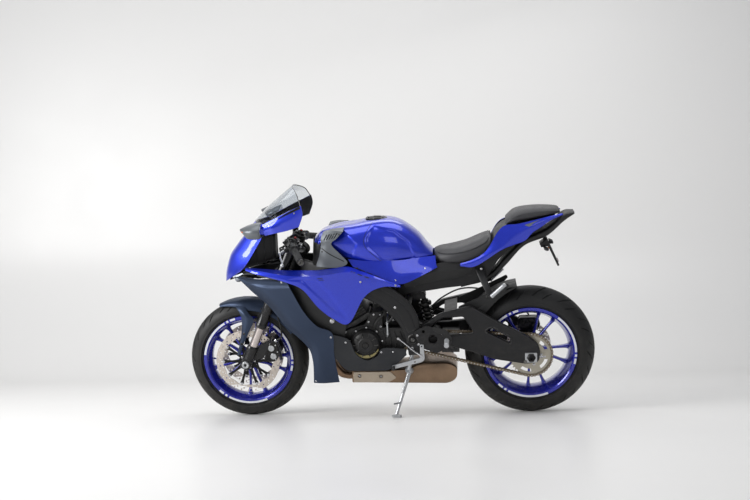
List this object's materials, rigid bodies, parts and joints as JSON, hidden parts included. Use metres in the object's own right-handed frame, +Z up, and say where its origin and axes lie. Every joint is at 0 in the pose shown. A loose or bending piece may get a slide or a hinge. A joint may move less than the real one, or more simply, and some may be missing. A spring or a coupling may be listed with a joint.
{
  "type": "sport motorcycle",
  "caption": "Fully faired sport motorcycle with a raked fork, spoked wheels, chain drive and humped tail, leaning on its side stand.",
  "frame": {"origin": "on the ground below the middle of the parked machine's bounding box", "axes": "+X forward along the machine, +Y to the rider's left, +Z up; the machine leans to its left onto its side stand"},
  "size_m": [2.025, 0.7603, 1.1495],
  "materials": {
    "blue_paint": "deep metallic blue, gloss",
    "blue_rim": "gloss blue",
    "slate_paint": "matte blue grey",
    "grey_plastic": "satin dark grey",
    "black_plastic": "matte",
    "smoke_screen": "light smoke, clear",
    "lamp_lens": "gloss black",
    "seat_cover": "matte black",
    "tyre": "matte",
    "disc_steel": "drilled",
    "sprocket_alloy": "anodised",
    "chain_steel": "oiled",
    "bronze_steel": "heat tinted",
    "bare_alloy": "satin",
    "fork_alloy": "anodised",
    "engine_black": "satin black",
    "frame_black": "satin black",
    "dark_alloy": "black"
  },
  "bodies": {
    "chassis": {"main_frame": "frame_black", "subframe": "frame_black", "engine": "engine_black", "radiator": "dark_alloy", "exhaust_headers": "bronze_steel", "exhaust_silencer": "bronze_steel", "swingarm": "frame_black", "rear_axle": "bare_alloy", "rear_shock": "bare_alloy", "drive_chain": "chain_steel", "rear_hugger": "black_plastic", "rear_caliper": "engine_black", "fuel_tank": "blue_paint", "side_covers": "blue_paint", "intake_covers": "grey_plastic", "rider_seat": "seat_cover", "pillion_seat": "seat_cover", "tail_cowl": "blue_paint", "undertray": "black_plastic", "plate_hanger": "black_plastic", "cowl_stay": "black_plastic", "nose_cowl": "blue_paint", "windscreen": "smoke_screen", "headlamps": "lamp_lens", "side_fairing_left": "blue_paint", "side_fairing_right": "blue_paint", "lower_cowl_left": "slate_paint", "lower_cowl_right": "slate_paint", "inner_panels": "black_plastic", "mirrors": "grey_plastic", "footrests": "black_plastic"},
    "fuel_cap": {"fuel_cap": "frame_black"},
    "fork": {"fork_legs": "fork_alloy", "triple_clamps": "frame_black", "handlebars": "black_plastic", "front_mudguard": "slate_paint", "front_calipers": "engine_black", "front_axle": "bare_alloy"},
    "front_wheel": {"front_rim": "blue_rim", "front_tyre": "tyre", "front_discs": "disc_steel"},
    "rear_wheel": {"rear_rim": "blue_rim", "rear_tyre": "tyre", "rear_sprocket": "sprocket_alloy", "rear_disc": "disc_steel"},
    "side_stand": {"side_stand": "bare_alloy"}
  },
  "joints": [
    {"name": "steering", "type": "hinge", "parent": "chassis", "child": "fork", "pos_m": [0.45853, -0.00859, 0.78099], "axis": [-0.4062, 0.2055, 0.8904], "range_deg": [-27, 27]},
    {"name": "front_wheel_spin", "type": "hinge", "parent": "fork", "child": "front_wheel", "pos_m": [0.71249, -0.12101, 0.29385], "axis": [-0.0001, 0.9744, -0.225], "continuous": true},
    {"name": "rear_wheel_spin", "type": "hinge", "parent": "chassis", "child": "rear_wheel", "pos_m": [-0.6925, -0.11652, 0.31423], "axis": [-0.0001, 0.9744, -0.225], "continuous": true},
    {"name": "side_stand_fold", "type": "hinge", "parent": "chassis", "child": "side_stand", "pos_m": [-0.10256, 0.01659, 0.2236], "axis": [0.1821, 0.962, 0.2034], "range_deg": [0, 95]},
    {"name": "fuel_cap_lid", "type": "hinge", "parent": "chassis", "child": "fuel_cap", "pos_m": [0.08692, 0.03679, 0.97777], "axis": [-0.0001, 0.9744, -0.225], "range_deg": [0, 85]}
  ]
}
